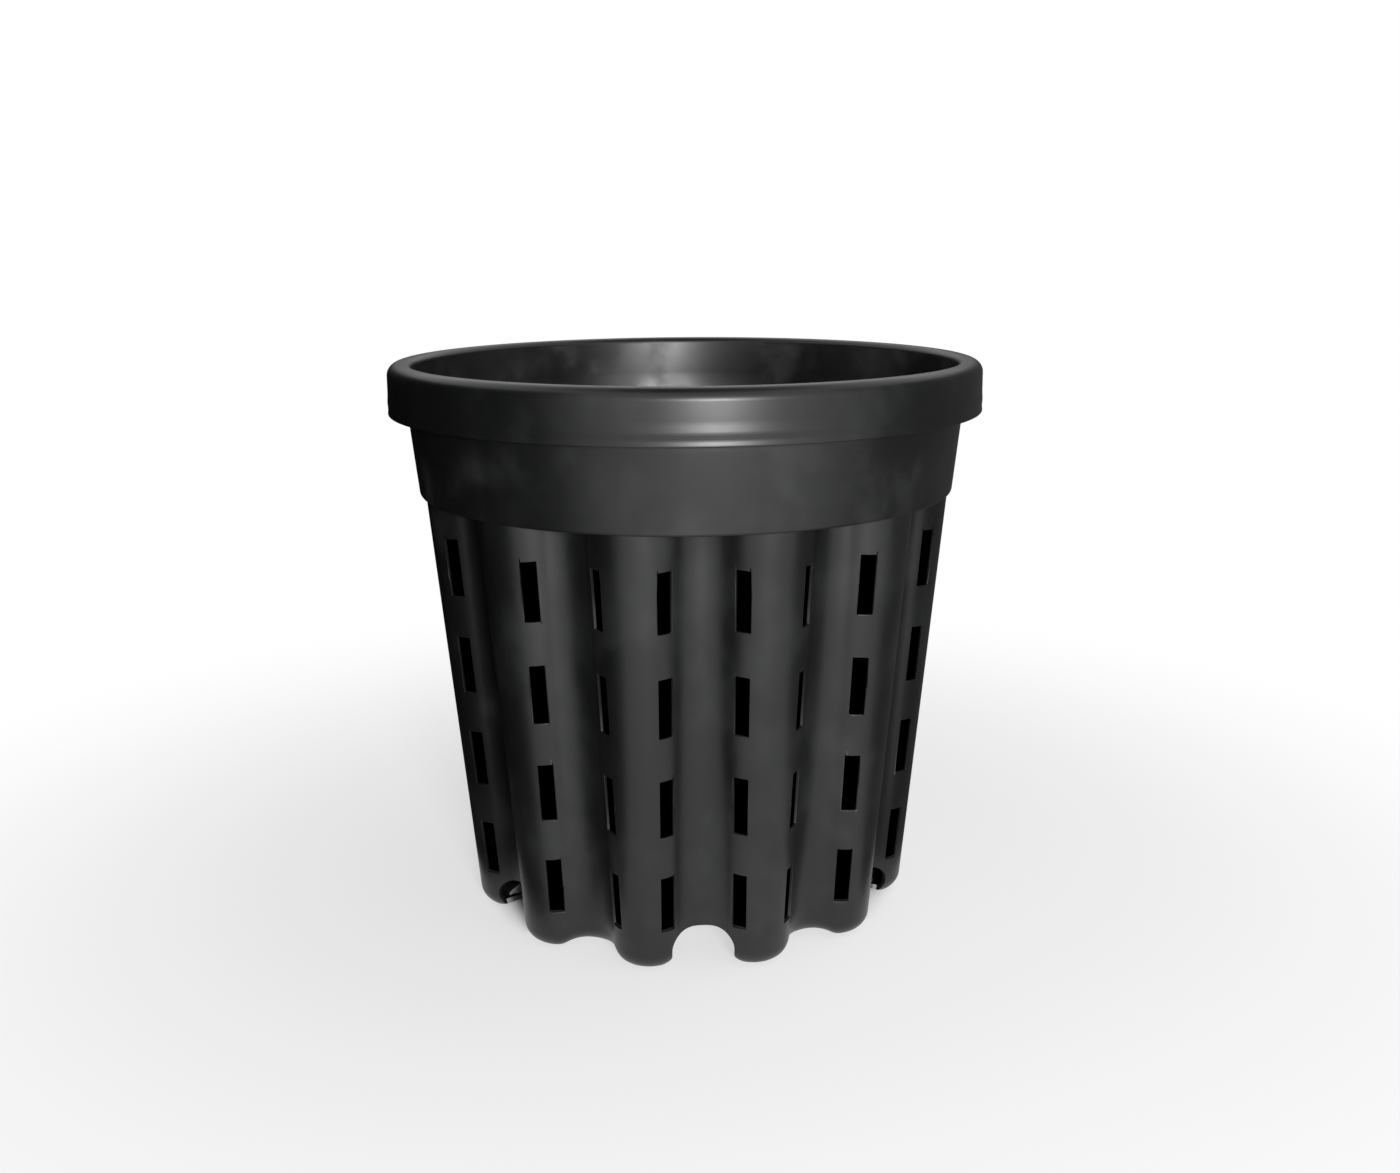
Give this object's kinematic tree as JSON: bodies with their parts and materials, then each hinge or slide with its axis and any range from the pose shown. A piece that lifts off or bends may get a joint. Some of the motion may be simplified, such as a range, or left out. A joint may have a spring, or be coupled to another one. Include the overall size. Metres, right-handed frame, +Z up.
{
  "type": "hydroponic grow pot",
  "caption": "Round black plastic grow pot with a turned-over rim, a smooth collar and a fluted, slotted wall on rounded toes, with drain arches and a raised, slotted floor.",
  "frame": {"origin": "centre of the circle of toes, on the ground", "axes": "+Z is up along the pot's axis, -Y faces an arched valley, +X is to the right of it"},
  "size_m": [0.3, 0.3, 0.2845],
  "materials": {
    "pot_plastic": "satin black moulded polypropylene"
  },
  "bodies": {
    "root": {"rim_lip": "pot_plastic", "collar": "pot_plastic", "valley_shelf": "pot_plastic", "fluted_wall": "pot_plastic", "foot_ring": "pot_plastic", "drain_floor": "pot_plastic"}
  },
  "joints": []
}
